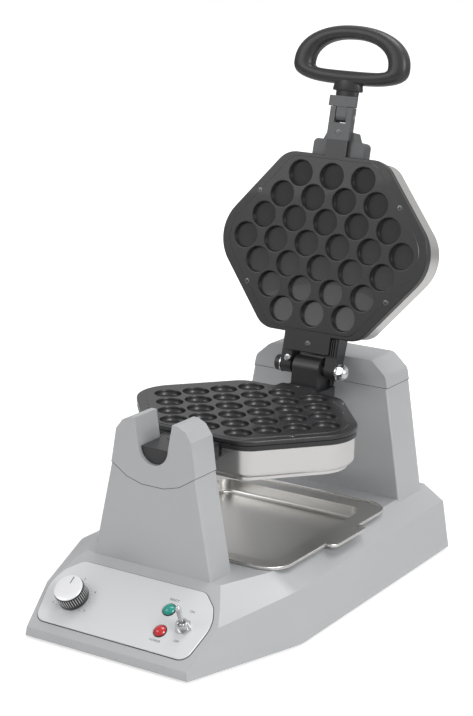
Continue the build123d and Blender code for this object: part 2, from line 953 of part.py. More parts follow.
# Rear gland
def cord_gland():
    place = Pos(gland_x, base_rear_y, gland_up) * Rot(-90, 0, 0)
    neck = place * Pos(0, 0, -2) * Cylinder(gland_radius, 2 * gland_length - 8)
    flange = place * Pos(0, 0, gland_flange_thick / 2) * Cylinder(gland_flange_radius, gland_flange_thick)
    return neck + flange - place * Cylinder(gland_bore, 100)


def to_axis(part):
    return Pos(0, 0, axis_height) * part


def model():
    nodes = {}
    nodes["base_housing"] = base_housing()
    nodes["bottom_cover"] = bottom_cover()
    nodes["rubber_feet"] = rubber_feet()
    nodes["front_tower"] = front_tower()
    nodes["front_tower_cap"] = front_cap()
    nodes["rear_tower"] = rear_tower()
    nodes["rear_tower_cap"] = rear_cap()
    nodes["rear_bearing"] = rear_bearing()
    nodes["cord_gland"] = cord_gland()
    nodes["control_panel"] = control_panel()
    nodes["thermostat_body"] = thermostat()
    nodes["thermostat_shaft"] = dial_shaft()
    nodes["thermostat_knob"] = dial_knob()
    nodes["knob_cap"] = dial_cap()
    nodes["ready_lamp_lens"] = lamp_lens(ready_x, ready_up)
    nodes["power_lamp_lens"] = lamp_lens(power_x, power_up)
    nodes["ready_lamp_body"] = lamp_body(ready_x, ready_up)
    nodes["power_lamp_body"] = lamp_body(power_x, power_up)
    nodes["toggle_switch_body"] = toggle_body()
    nodes["toggle_bushing"] = toggle_bush()
    nodes["toggle_nut"] = toggle_nut()
    nodes["toggle_lever"] = toggle_lever()
    nodes["drip_tray"] = drip_tray()
    nodes["lower_plate"] = to_axis(plate_half())
    nodes["lower_rim"] = to_axis(rim_half())
    nodes["lower_shell"] = to_axis(shell_half())
    nodes["lower_pan"] = to_axis(pan_half())
    nodes["lower_element"] = to_axis(element_half())
    nodes["lower_plate_screws"] = [to_axis(s) for s in plate_screws()]
    nodes["lower_front_arm"] = to_axis(lower_arm())
    nodes["lower_hinge_bracket"] = to_axis(lower_bracket())
    nodes["rear_shaft"] = to_axis(rear_shaft())
    nodes["shaft_collar"] = to_axis(shaft_collar())
    nodes["hinge_pin"] = to_axis(hinge_pin())
    nodes["hinge_nut"] = to_axis(hinge_nut())
    nodes["hinge_washers"] = [to_axis(w) for w in hinge_washers()]
    nodes["hinge_sleeves"] = [to_axis(s) for s in hinge_sleeve()]
    nodes["upper_plate"] = to_axis(open_lid(flip_up(plate_half())))
    nodes["upper_rim"] = to_axis(open_lid(flip_up(rim_half())))
    nodes["upper_shell"] = to_axis(open_lid(flip_up(shell_half())))
    nodes["upper_pan"] = to_axis(open_lid(flip_up(pan_half())))
    nodes["upper_element"] = to_axis(open_lid(flip_up(element_half())))
    nodes["upper_plate_screws"] = [to_axis(open_lid(flip_up(s))) for s in plate_screws()]
    nodes["upper_hinge_bracket"] = to_axis(open_lid(lid_bracket()))
    nodes["upper_front_arm"] = to_axis(open_lid(lid_arm()))
    nodes["fold_pin"] = to_axis(open_lid(fold_pin()))
    nodes["handle_block"] = to_axis(open_lid(handle_block()))
    nodes["handle_grip"] = to_axis(open_lid(handle_grip()))
    return nodes


def as_one(shape):
    if isinstance(shape, list):
        return Compound(children=[solid for piece in shape for solid in piece.solids()])
    return shape


def export_all():
    os.makedirs("parts", exist_ok=True)
    nodes = {name: as_one(shape) for name, shape in model().items()}
    low = min(shape.bounding_box().min.Y for shape in nodes.values())
    high = max(shape.bounding_box().max.Y for shape in nodes.values())
    centre = Pos(0, -(low + high) / 2, 0)
    for name, shape in nodes.items():
        export_step(centre * shape, "parts/" + name + ".step")
    print("shift along Y", -(low + high) / 2)


if __name__ == "__main__":
    export_all()
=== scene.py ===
import bpy
import bmesh
import json
import math
from mathutils import Matrix, Vector, geometry


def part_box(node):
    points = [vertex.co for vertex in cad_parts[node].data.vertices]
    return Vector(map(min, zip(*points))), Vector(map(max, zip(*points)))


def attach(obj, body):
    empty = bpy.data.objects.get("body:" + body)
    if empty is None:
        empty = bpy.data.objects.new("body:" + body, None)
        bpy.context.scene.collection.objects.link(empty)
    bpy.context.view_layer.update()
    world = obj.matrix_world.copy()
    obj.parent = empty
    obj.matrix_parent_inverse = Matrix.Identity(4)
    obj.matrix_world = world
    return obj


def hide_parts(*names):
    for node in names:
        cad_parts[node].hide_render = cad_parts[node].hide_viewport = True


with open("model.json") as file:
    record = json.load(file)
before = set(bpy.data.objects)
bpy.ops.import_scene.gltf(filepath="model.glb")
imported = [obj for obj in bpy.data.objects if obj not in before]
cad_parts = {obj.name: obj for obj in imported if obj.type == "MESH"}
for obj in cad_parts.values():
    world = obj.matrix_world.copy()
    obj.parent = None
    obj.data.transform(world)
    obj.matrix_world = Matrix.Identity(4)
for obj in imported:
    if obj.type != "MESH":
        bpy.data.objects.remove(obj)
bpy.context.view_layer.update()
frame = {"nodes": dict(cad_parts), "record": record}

# The frame is in metres. The heads are drawn in plate millimetres, whose origin is the middle of the
# lower plate's top face. The lid's pieces are drawn as on the lower head and mirrored, and the handle
# as it lies on the closed lid.
MM = 0.001
HEAD_SHIFT = 0.0084
AXIS_HEIGHT = 0.1794
HINGE_Y = 124.5
HINGE_UP = 13.9
LID_OPEN = math.radians(-103)
PLATE_GAP = 0.5
FULL_TURN = 2 * math.pi
QUARTER_TURN = math.pi / 2


# Node trees
class Sheet:
    """A node tree that is written with few words."""

    def __init__(self, tree):
        self.tree = tree

    def node(self, kind, settings=(), values=()):
        new = self.tree.nodes.new(kind)
        for key, value in dict(settings).items():
            setattr(new, key, value)
        for key, value in dict(values).items():
            self.put(new.inputs[key], value)
        return new

    def put(self, socket, value):
        if isinstance(value, Amount):
            value = value.socket
        if isinstance(value, bpy.types.NodeSocket):
            self.tree.links.new(value, socket)
        else:
            socket.default_value = value

    def amount(self, socket):
        return Amount(self, socket)


class Amount:
    """A number in a node tree that can be added, scaled and limited."""

    def __init__(self, sheet, socket):
        self.sheet = sheet
        self.socket = socket

    def use(self, operation, first, second=0.0):
        made = self.sheet.node("ShaderNodeMath", {"operation": operation}, {0: first, 1: second})
        return Amount(self.sheet, made.outputs[0])

    def __add__(self, other):
        return self.use("ADD", self, other)

    def __radd__(self, other):
        return self.use("ADD", other, self)

    def __sub__(self, other):
        return self.use("SUBTRACT", self, other)

    def __rsub__(self, other):
        return self.use("SUBTRACT", other, self)

    def __mul__(self, other):
        return self.use("MULTIPLY", self, other)

    def __rmul__(self, other):
        return self.use("MULTIPLY", other, self)

    def __truediv__(self, other):
        return self.use("DIVIDE", self, other)

    def __rtruediv__(self, other):
        return self.use("DIVIDE", other, self)

    def smaller(self, other):
        return self.use("MINIMUM", self, other)

    def larger(self, other):
        return self.use("MAXIMUM", self, other)

    def sine(self):
        return self.use("SINE", self)

    def cosine(self):
        return self.use("COSINE", self)


# Finishes
PATCH_SCALE = 14.0
PATCH_DETAIL = 3.0
PATCH_ROUGHNESS = 0.08
GRAIN_DETAIL = 2.0
GRAIN_ROUGHNESS = 0.10
GRAIN_DEPTH = 0.0002


def finish(
    name, colour, rough, metal=0.0, stretch=(1.0, 1.0, 1.0), mottle=0.06, bump=0.0, grain=900.0, coat=0.0
):
    """A finish whose colour and gloss vary a little, in broad patches and in a fine grain."""
    made = bpy.data.materials.new(name)
    made.use_nodes = True
    sheet = Sheet(made.node_tree)
    shader = made.node_tree.nodes["Principled BSDF"]
    where = sheet.node("ShaderNodeTexCoord").outputs["Object"]
    drawn = sheet.node("ShaderNodeMapping", (), {"Vector": where, "Scale": stretch}).outputs[0]
    values = {"Vector": drawn, "Scale": grain, "Detail": GRAIN_DETAIL}
    fine = sheet.node("ShaderNodeTexNoise", (), values)
    values = {"Vector": where, "Scale": PATCH_SCALE, "Detail": PATCH_DETAIL}
    broad = sheet.node("ShaderNodeTexNoise", (), values)
    patch = sheet.amount(broad.outputs["Fac"]) - 0.5
    speck = sheet.amount(fine.outputs["Fac"]) - 0.5
    light = 1.0 + patch * mottle + speck * mottle
    tint = sheet.node("ShaderNodeVectorMath", {"operation": "SCALE"}, {0: colour, "Scale": light})
    sheet.put(shader.inputs["Base Color"], tint.outputs[0])
    sheet.put(shader.inputs["Roughness"], rough + patch * PATCH_ROUGHNESS + speck * GRAIN_ROUGHNESS)
    shader.inputs["Metallic"].default_value = metal
    shader.inputs["Coat Weight"].default_value = coat
    if bump:
        values = {"Strength": bump, "Distance": GRAIN_DEPTH, "Height": fine.outputs["Fac"]}
        sheet.put(shader.inputs["Normal"], sheet.node("ShaderNodeBump", (), values).outputs[0])
    return made


# The keys are the record's slots, and after them four finishes that only this model has
finishes = {
    "housing_paint": finish(
        "silver grey paint", (0.47, 0.48, 0.49), 0.42, metal=0.30,
        mottle=0.05, bump=0.05, grain=1500.0, coat=0.1,
    ),
    "cover_steel": finish("plain sheet steel", (0.45, 0.46, 0.47), 0.4, metal=1.0),
    "foot_rubber": finish("foot rubber", (0.02, 0.02, 0.02), 0.8, mottle=0.1, bump=0.2),
    "bearing_bronze": finish("bush bronze", (0.22, 0.17, 0.11), 0.4, metal=1.0),
    "black_plastic": finish("black moulding", (0.02, 0.02, 0.021), 0.45, mottle=0.05, bump=0.15),
    "panel_face": finish(
        "panel silver", (0.70, 0.71, 0.72), 0.38, metal=0.25,
        mottle=0.03, bump=0.03, grain=1800.0,
    ),
    "green_lens": finish("green lens", (0.0, 0.30, 0.24), 0.12, mottle=0.02, grain=300.0, coat=0.5),
    "red_lens": finish("red lens", (0.55, 0.008, 0.015), 0.12, mottle=0.02, grain=300.0, coat=0.5),
    "bright_metal": finish("bright plating", (0.56, 0.56, 0.57), 0.19, metal=1.0, mottle=0.02),
    "plate_coating": finish(
        "non-stick coating", (0.017, 0.017, 0.0185), 0.37,
        mottle=0.10, bump=0.08, grain=2200.0, coat=0.15,
    ),
    "rim_black": finish("rim moulding", (0.018, 0.018, 0.019), 0.5, mottle=0.05, bump=0.12),
    "brushed_steel": finish(
        "brushed stainless", (0.62, 0.61, 0.60), 0.30, metal=1.0, stretch=(1.0, 1.0, 30.0),
        mottle=0.05, bump=0.02, grain=90.0,
    ),
    "element_metal": finish("heating tube", (0.25, 0.24, 0.23), 0.45, metal=1.0),
    "black_casting": finish(
        "black casting", (0.025, 0.025, 0.027), 0.42,
        mottle=0.08, bump=0.2, grain=700.0, coat=0.1,
    ),
    "grey_casting": finish(
        "dark grey casting", (0.115, 0.117, 0.12), 0.45, metal=0.4, mottle=0.08, bump=0.15
    ),
    "shaft_steel": finish("ground steel", (0.5, 0.5, 0.5), 0.25, metal=1.0),
    "handle_black": finish(
        "handle moulding", (0.022, 0.022, 0.024), 0.38, mottle=0.05, bump=0.15, grain=1200.0
    ),
    "knob_black": finish("knob skirt", (0.02, 0.02, 0.02), 0.3),
    "knob_silver": finish("knob cap metal", (0.86, 0.86, 0.87), 0.32, metal=0.35),
    "tray_steel": finish(
        "tray stainless", (0.60, 0.59, 0.575), 0.32, metal=1.0, stretch=(1.0, 30.0, 1.0),
        mottle=0.05, bump=0.02, grain=90.0,
    ),
    "legend_grey": finish("legend print", (0.10, 0.10, 0.105), 0.6, mottle=0.02),
    # The rolled edge is real steel; its colour is lighter than the tray's steel as a painted highlight along
    # the edge
    "tray_edge_highlight": finish("tray rolled edge with painted highlight", (0.72, 0.71, 0.69), 0.2, metal=1.0, mottle=0.03),
    "screw_steel": finish("dark screw steel", (0.16, 0.16, 0.165), 0.32, metal=0.9, mottle=0.03),
    # The seam finish is painted shade: a dark line for the shadow in the gap where each cap meets its tower
    "seam_shade_grey": finish("seam shadow", (0.10, 0.10, 0.105), 0.8, mottle=0.02),
}
SHOWN_BLACK = ("hinge_pin", "rear_bearing")
for part in frame["record"]["subparts"]:
    shown = frame["nodes"][part["node"]]
    slot = "black_casting" if part["node"] in SHOWN_BLACK else part["material_slot"]
    shown.data.materials.clear()
    shown.data.materials.append(finishes[slot])


# Making pieces
DOUBLES = 1e-6
SHARP_FROM = 35


def raw_mesh(name, vertices, faces=()):
    mesh = bpy.data.meshes.new(name)
    mesh.from_pydata([tuple(v) for v in vertices], [], faces)
    return mesh


def tidy_mesh(mesh, distance=DOUBLES):
    """Merges doubles and points the faces outwards."""
    work = bmesh.new()
    work.from_mesh(mesh)
    bmesh.ops.remove_doubles(work, verts=work.verts, dist=distance)
    bmesh.ops.recalc_face_normals(work, faces=work.faces)
    work.to_mesh(mesh)
    work.free()
    return mesh


def solid(name, shape):
    """A tidy mesh from a pair of vertices and faces."""
    return tidy_mesh(raw_mesh(name, *shape))


def joined(name, parts):
    """One mesh from several."""
    work = bmesh.new()
    for part in parts:
        work.from_mesh(part)
    mesh = bpy.data.meshes.new(name)
    work.to_mesh(mesh)
    work.free()
    return mesh


def settle(name, mesh, material, body, stands_for=(), sharp_from=SHARP_FROM):
    """Makes a mesh in metres a finished piece that rides on one body."""
    mesh.materials.clear()
    mesh.materials.append(finishes[material])
    mesh.shade_smooth()
    mesh.set_sharp_from_angle(angle=math.radians(sharp_from))
    piece = bpy.data.objects.new(name, mesh)
    bpy.context.scene.collection.objects.link(piece)
    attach(piece, body)
    if stands_for:
        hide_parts(*stands_for)


def evaluated_mesh(holder):
    """The plain mesh that an object comes to with its modifiers."""
    bpy.context.view_layer.update()
    graph = bpy.context.evaluated_depsgraph_get()
    return bpy.data.meshes.new_from_object(holder.evaluated_get(graph))


def grown(name, base, tree, inputs):
    """The plain mesh that a geometry tree grows on a base mesh."""
    holder = bpy.data.objects.new(name, base)
    bpy.context.scene.collection.objects.link(holder)
    modifier = holder.modifiers.new(name, "NODES")
    modifier.node_group = tree
    for item in tree.interface.items_tree:
        if item.item_type == "SOCKET" and item.in_out == "INPUT" and item.name in inputs:
            modifier[item.identifier] = inputs[item.name]
    holder.update_tag()
    mesh = evaluated_mesh(holder)
    holder.modifiers.remove(modifier)
    bpy.data.objects.remove(holder)
    return mesh


def new_tree(name, inputs):
    """A geometry tree with places and named inputs: its sheet, what it is given and its outlet."""
    tree = bpy.data.node_groups.new(name, "GeometryNodeTree")
    tree.interface.new_socket("Geometry", in_out="OUTPUT", socket_type="NodeSocketGeometry")
    tree.interface.new_socket("Places", in_out="INPUT", socket_type="NodeSocketGeometry")
    for label, kind in inputs:
        tree.interface.new_socket(label, in_out="INPUT", socket_type="NodeSocket" + kind)
    sheet = Sheet(tree)
    given = sheet.node("NodeGroupInput").outputs
    outlet = sheet.node("NodeGroupOutput").inputs["Geometry"]
    return sheet, given, outlet


def end_tree(sheet, shape, outlet, material):
    """Realizes the copies, gives them their finish and ends the tree."""
    real = sheet.node("GeometryNodeRealizeInstances", (), {0: shape.outputs[0]})
    values = {"Geometry": real.outputs[0], "Material": material}
    sheet.put(outlet, sheet.node("GeometryNodeSetMaterial", (), values).outputs[0])
    return sheet.tree


# Shapes
def rounded_path(corners, radii, steps):
    """A closed path with an arc of so many steps at each corner, or the corner itself at radius 0."""
    path = []
    for i, corner in enumerate(corners):
        here = Vector(corner)
        if radii[i] == 0:
            path.append(here)
            continue
        before = (Vector(corners[i - 1]) - here).normalized()
        after = (Vector(corners[(i + 1) % len(corners)]) - here).normalized()
        opening = before.angle(after)
        reach = radii[i] / math.tan(opening / 2)
        centre = here + (before + after).normalized() * (radii[i] / math.sin(opening / 2))
        first = here + before * reach - centre
        last = here + after * reach - centre
        swing = first.angle_signed(last)
        for k in range(steps + 1):
            part = -swing * k / steps
            across = first.x * math.cos(part) - first.y * math.sin(part)
            along = first.x * math.sin(part) + first.y * math.cos(part)
            path.append(centre + Vector((across, along)))
    return path


def rectangle(left, right, low, high):
    """The corners of a rectangle, anticlockwise from its lower left."""
    return [Vector((left, low)), Vector((right, low)), Vector((right, high)), Vector((left, high))]


def inset(path, distance):
    """Moves a closed path that runs anticlockwise inwards."""
    moved = []
    for i, point in enumerate(path):
        along = (path[(i + 1) % len(path)] - path[i - 1]).normalized()
        moved.append(point + Vector((-along.y, along.x)) * distance)
    return moved


def skin(rings, close_last=True):
    """Vertices and faces of a wall through rings of equally many points, closed at its first ring."""
    count = len(rings[0])
    vertices = [point for ring in rings for point in ring]
    faces = []
    for start in range(0, len(vertices) - count, count):
        for k in range(count):
            a = start + k
            b = start + (k + 1) % count
            faces.append((a, b, b + count, a + count))
    faces.append(tuple(range(count))[::-1])
    if close_last:
        faces.append(tuple(range(len(vertices) - count, len(vertices))))
    return vertices, faces


def stacked(levels, close_top=True):
    """A wall through flat paths, each given with its height."""
    rings = [[Vector((p.x, p.y, height)) for p in path] for path, height in levels]
    return skin(rings, close_top)


def turns(count):
    """Angles in even steps round a full turn."""
    return [FULL_TURN * k / count for k in range(count)]


def lathe(profile, sides):
    """A profile of (radius, height) turned about Z."""
    rings = []
    for radius, height in profile:
        rings.append([Vector((radius * math.cos(a), radius * math.sin(a), height)) for a in turns(sides)])
    return skin(rings)


# Places of the two heads
def lower_place():
    """From plate millimetres to the lower head in the frame."""
    return Matrix.Translation((0, HEAD_SHIFT, AXIS_HEIGHT)) @ Matrix.Scale(MM, 4)


def opened_place():
    """From plate millimetres of the closed lid to the open lid in the frame."""
    hinge = Vector((0, HINGE_Y * MM + HEAD_SHIFT, HINGE_UP * MM + AXIS_HEIGHT))
    turn = Matrix.Translation(hinge) @ Matrix.Rotation(LID_OPEN, 4, "X") @ Matrix.Translation(-hinge)
    return turn @ lower_place()


def put_on_head(name, mesh, material, upper, stands_for=(), sharp_from=SHARP_FROM):
    """Settles a mesh that is drawn for the lower head on that head, or mirrored on the lid."""
    if upper:
        mirrored = Matrix.Translation((0, 0, PLATE_GAP)) @ Matrix.Diagonal((1, 1, -1, 1))
        mesh.transform(opened_place() @ mirrored)
        mesh.flip_normals()
        settle("lid_" + name, mesh, material, "lid", stands_for, sharp_from)
    else:
        mesh.transform(lower_place())
        settle("lower_" + name, mesh, material, "head", stands_for, sharp_from)


# Plates with their bubble moulds
MOULD_PITCH = 36.0
ROW_PITCH = 23.2
ROWS = (3, 4, 5, 6, 5, 4, 3)
MOULD_RADIUS = 13.3
MOULD_LIP = 0.75
MOULD_DEPTH = 11.4
MOULD_SIDES = 40
MOULD_RINGS = 15
LIP_SHARE = 0.16
OUTLINE = {
    "flat_half": 56.0, "depth_half": 91.0, "point_half": 131.0,
    "corner_round": 25.0, "point_round": 44.0,
}
FIELD = {
    "flat_half": 47.6, "depth_half": 86.6, "point_half": 118.7,
    "corner_round": 16.0, "point_round": 34.5,
}
HEXAGON_STEPS = 12
FIELD_HEIGHT = 0.5
# How far in from the plate's outline, and how far above the flange's top
FLANGE_PROFILE = [
    (1.5, -4.5), (0.0, -4.0), (0.0, -0.9), (0.15, -0.45), (0.5, -0.12), (0.9, 0.0), (1.3, 0.0)
]
# How far out from the raised field's edge, and what share of the way up to the field's top
FIELD_PROFILE = [(0.9, 0.0), (0.55, 0.0), (0.15, 0.8), (0.0, 1.0)]
FIELD_BAND = 0.35
MOULD_BAND = 0.22
FILL_INSIDE = 1
FILL_ACCURACY = 1e-5
# A face lies in a mould when its middle is nearer to the mould's than this share of the rim
IN_MOULD = 0.995
MOULD_JOIN = 0.001
PLATE_JOIN = 0.004
PLATE_SHARP_FROM = 32


def mould_places():
    places = []
    for row, count in enumerate(ROWS):
        for k in range(count):
            across = (k - (count - 1) / 2) * MOULD_PITCH
            along = (row - (len(ROWS) - 1) / 2) * ROW_PITCH
            places.append(Vector((across, along, 0)))
    return places


def mould_tree():
    """A bowl with a rounded lip, bent from a grid, at each place."""
    inputs = [("Radius", "Float"), ("Lip", "Float"), ("Depth", "Float"), ("Sides", "Int"), ("Rings", "Int")]
    sheet, given, outlet = new_tree("bubble moulds", inputs)
    values = {"Size X": 1.0, "Size Y": 1.0, "Vertices X": given["Sides"], "Vertices Y": given["Rings"]}
    grid = sheet.node("GeometryNodeMeshGrid", (), values)
    spot = sheet.node("ShaderNodeSeparateXYZ", (), {0: sheet.node("GeometryNodeInputPosition").outputs[0]})
    angle = sheet.amount(spot.outputs["X"]) * FULL_TURN
    down = sheet.amount(spot.outputs["Y"]) + 0.5
    radius = sheet.amount(given["Radius"])
    lip = sheet.amount(given["Lip"])
    depth = sheet.amount(given["Depth"])
    lip_turn = (down / LIP_SHARE).smaller(1.0) * QUARTER_TURN
    bowl_turn = ((down - LIP_SHARE) / (1 - LIP_SHARE)).larger(0.0) * QUARTER_TURN
    out = radius * bowl_turn.cosine() + lip * (1 - lip_turn.sine())
    up = 0 - lip * (1 - lip_turn.cosine()) - (depth - lip) * bowl_turn.sine()
    values = {"X": out * angle.cosine(), "Y": out * angle.sine(), "Z": up}
    bent = sheet.node("ShaderNodeCombineXYZ", (), values)
    values = {"Geometry": grid.outputs[0], "Position": bent.outputs[0]}
    bowl = sheet.node("GeometryNodeSetPosition", (), values)
    values = {"Geometry": bowl.outputs[0], "Distance": MOULD_JOIN}
    closed = sheet.node("GeometryNodeMergeByDistance", (), values)
    values = {"Points": given["Places"], "Instance": closed.outputs[0]}
    copies = sheet.node("GeometryNodeInstanceOnPoints", (), values)
    return end_tree(sheet, copies, outlet, finishes["plate_coating"])


def hexagon(flat_half, depth_half, point_half, corner_round, point_round):
    """A long hexagon with its points to the left and right."""
    corners = [
        (-flat_half, -depth_half),
        (flat_half, -depth_half),
        (point_half, 0),
        (flat_half, depth_half),
        (-flat_half, depth_half),
        (-point_half, 0),
    ]
    return rounded_path(corners, [corner_round, corner_round, point_round] * 2, HEXAGON_STEPS)


def field_face(edge):
    """The flat face between the moulds, with narrow bands along its edge and round each mould."""
    rim = MOULD_RADIUS + MOULD_LIP
    places = [place.to_2d() for place in mould_places()]
    angles = [angle - FULL_TURN / 2 for angle in turns(MOULD_SIDES)]
    loops = [edge, inset(edge, FIELD_BAND)]
    for place in places:
        for reach in (rim, rim + MOULD_BAND):
            loops.append([place + Vector((math.cos(a), math.sin(a))) * reach for a in angles])
    points = []
    links = []
    for loop in loops:
        first = len(points)
        points += loop
        links += [(first + k, first + (k + 1) % len(loop)) for k in range(len(loop))]
    filled = geometry.delaunay_2d_cdt(points, links, [], FILL_INSIDE, FILL_ACCURACY)
    corners, faces = filled[0], filled[2]
    kept = []
    for face in faces:
        middle = sum((corners[i] for i in face), Vector((0, 0))) / len(face)
        if all((middle - place).length > rim * IN_MOULD for place in places):
            kept.append(tuple(face))
    return raw_mesh("plate field", [(c.x, c.y, 0) for c in corners], kept)


def plate_mesh(moulds):
    """One plate: a flange with rounded edges, a raised field and the moulds in it."""
    outline = hexagon(**OUTLINE)
    field = hexagon(**FIELD)
    levels = [(inset(outline, inwards), up - FIELD_HEIGHT) for inwards, up in FLANGE_PROFILE]
    levels += [(inset(field, -outwards), (share - 1) * FIELD_HEIGHT) for outwards, share in FIELD_PROFILE]
    edge = raw_mesh("plate edge", *stacked(levels, False))
    return tidy_mesh(joined("plate", [edge, field_face(field), moulds]), PLATE_JOIN)


mould_sizes = {
    "Radius": MOULD_RADIUS,
    "Lip": MOULD_LIP,
    "Depth": MOULD_DEPTH,
    "Sides": MOULD_SIDES + 1,
    "Rings": MOULD_RINGS,
}
moulds = grown("moulds", raw_mesh("mould places", mould_places()), mould_tree(), mould_sizes)
plate = plate_mesh(moulds)
put_on_head("plate", plate.copy(), "plate_coating", False, ("lower_plate",), PLATE_SHARP_FROM)
put_on_head("plate", plate.copy(), "plate_coating", True, ("upper_plate",), PLATE_SHARP_FROM)


# Tongues of the plates over the front arm and over the hinge
TONGUE_TOP = -0.35
TONGUE_CHAMFER = 0.6
TONGUE_STEPS = 8
TONGUE_ROOT = 88.0
FRONT_TONGUE_HALF = 11.8
FRONT_TONGUE_END = 123.4
FRONT_TONGUE_ROUND = 9.0
FRONT_TONGUE_LOW = -4.6
REAR_TONGUE_ROUND = 3.0
REAR_TONGUE_LOW = -3.4
LOWER_REAR_TONGUE = {"left": -20.4, "right": 20.4, "end": 104.0}
LID_REAR_TONGUE = {"left": -28.0, "right": 25.0, "end": 109.0}


def tongue(name, corners, radii, low, upper):
    path = rounded_path(corners, radii, TONGUE_STEPS)
    levels = [(path, low), (path, TONGUE_TOP - TONGUE_CHAMFER), (inset(path, TONGUE_CHAMFER), TONGUE_TOP)]
    put_on_head(name, solid(name, stacked(levels)), "plate_coating", upper)


for upper, rear in ((False, LOWER_REAR_TONGUE), (True, LID_REAR_TONGUE)):
    corners = rectangle(-FRONT_TONGUE_HALF, FRONT_TONGUE_HALF, -FRONT_TONGUE_END, -TONGUE_ROOT)
    tongue("front_tongue", corners, (FRONT_TONGUE_ROUND, FRONT_TONGUE_ROUND, 0, 0), FRONT_TONGUE_LOW, upper)
    corners = rectangle(rear["left"], rear["right"], TONGUE_ROOT, rear["end"])
    tongue("rear_tongue", corners, (0, 0, REAR_TONGUE_ROUND, REAR_TONGUE_ROUND), REAR_TONGUE_LOW, upper)


# Cross-slot screws
SCREW_FOOT = 0.6
SCREW_SIDES = 28
SCREW_TURN = 0.7
# Shares of the head's radius and height
HEAD_PROFILE = [(1.0, 0.35), (0.93, 0.72), (0.72, 0.95), (0.4, 1.0)]
CROSS_REACH = 0.62
CROSS_FLOOR = 0.1
CROSS_ABOVE = 1.0
# Radius, height and slot width of each kind of head
PLATE_SCREW = (3.1, 0.85, 0.9)
TONGUE_SCREW = (3.1, 0.55, 0.9)
STOP_SCREW = (3.7, 1.6, 1.1)
BACK_SCREW = (3.6, 1.3, 1.0)
CORNER_SCREW_PLACE = (80.5, 47.0, -0.75)
TONGUE_SCREW_PLACES = [(0, -114.7, -0.4), (0, 100.4, -0.4)]


def cross_path(reach, half):
    """The outline of a cross, anticlockwise: one arm's three corners, turned four times."""
    arm = [Vector((half, -reach)), Vector((half, -half)), Vector((reach, -half))]
    path = []
    for quarter in range(4):
        path += [Matrix.Rotation(quarter * QUARTER_TURN, 2) @ corner for corner in arm]
    return path


def screw_mesh(radius, height, slot):
    """A low round head with a cross slot, its seat at zero."""
    profile = [(radius, -SCREW_FOOT)] + [(radius * out, height * up) for out, up in HEAD_PROFILE]
    head = bpy.data.objects.new("screw head", solid("screw head", lathe(profile, SCREW_SIDES)))
    cross = cross_path(radius * CROSS_REACH, slot / 2)
    levels = [(cross, height * CROSS_FLOOR), (cross, height + CROSS_ABOVE)]
    cutter = bpy.data.objects.new("cross", raw_mesh("cross", *stacked(levels)))
    for made in (head, cutter):
        bpy.context.scene.collection.objects.link(made)
    cut = head.modifiers.new("cross", "BOOLEAN")
    cut.object = cutter
    cut.solver = "EXACT"
    mesh = evaluated_mesh(head)
    bpy.data.objects.remove(head)
    bpy.data.objects.remove(cutter)
    return mesh


def screw_tree(material):
    """A screw at each place, each turned further than the one before."""
    sheet, given, outlet = new_tree("screws", [("Screw", "Object"), ("Turn", "Float")])
    head = sheet.node("GeometryNodeObjectInfo", {"transform_space": "ORIGINAL"}, {"Object": given["Screw"]})
    index = sheet.amount(sheet.node("GeometryNodeInputIndex").outputs[0])
    turned = sheet.node("ShaderNodeCombineXYZ", (), {"Z": index * sheet.amount(given["Turn"])})
    values = {"Points": given["Places"], "Instance": head.outputs["Geometry"], "Rotation": turned.outputs[0]}
    copies = sheet.node("GeometryNodeInstanceOnPoints", (), values)
    return end_tree(sheet, copies, outlet, finishes[material])


def screws(name, places, size, material):
    """Screw heads at places in millimetres, facing up."""
    head = bpy.data.objects.new("one screw", screw_mesh(*size))
    mesh = grown(name, raw_mesh(name, places), screw_tree(material), {"Screw": head, "Turn": SCREW_TURN})
    bpy.data.objects.remove(head)
    return mesh


corner_x, corner_y, corner_up = CORNER_SCREW_PLACE
corner_places = [(sx * corner_x, sy * corner_y, corner_up) for sx in (-1, 1) for sy in (-1, 1)]
for upper, node in ((False, "lower_plate_screws"), (True, "upper_plate_screws")):
    heads = screws("plate screws", corner_places, PLATE_SCREW, "screw_steel")
    put_on_head("plate_screws", heads, "screw_steel", upper, (node,))
    heads = screws("tongue screws", TONGUE_SCREW_PLACES, TONGUE_SCREW, "screw_steel")
    put_on_head("tongue_screws", heads, "screw_steel", upper)


# Control panel: its millimetres run across, up and out of the slope
SLOPE_LEAN = math.radians(36.5)
SLOPE_FOOT = Vector((0, -0.22060, 0.01120))
PANEL_SUNK = -0.5
PANEL_TOP = 1.2
PANEL_CHAMFER = (0.35, 0.3)
PANEL_SIDE = [(81.0, 9.5), (88.5, 50.0), (80.0, 67.0), (66.0, 79.5)]
PANEL_ROUNDS = [11.0, 34.0, 14.0, 12.0]
PANEL_STEPS = 10
PANEL_MORE_LEFT = 2.6
LINE_WIDTH = 0.7
LINE_TOP = 0.2
LINE_CHAMFER = (0.1, 0.08)


def slope_place(x=0.0, up=0.0):
    """From millimetres on the slope, round a place on it, to metres in the frame."""
    lean = Matrix.Rotation(SLOPE_LEAN, 4, "X")
    return Matrix.Translation(SLOPE_FOOT) @ lean @ Matrix.Scale(MM, 4) @ Matrix.Translation((x, up, 0))


def on_slope(name, mesh, material, body, place, stands_for=(), sharp_from=SHARP_FROM):
    mesh.transform(slope_place(*place))
    settle(name, mesh, material, body, stands_for, sharp_from)


def flat_plate(name, path, top, chamfer):
    """A plate on the slope whose upper edge has a small chamfer of (inwards, down)."""
    inwards, down = chamfer
    return solid(name, stacked([(path, PANEL_SUNK), (path, top - down), (inset(path, inwards), top)]))


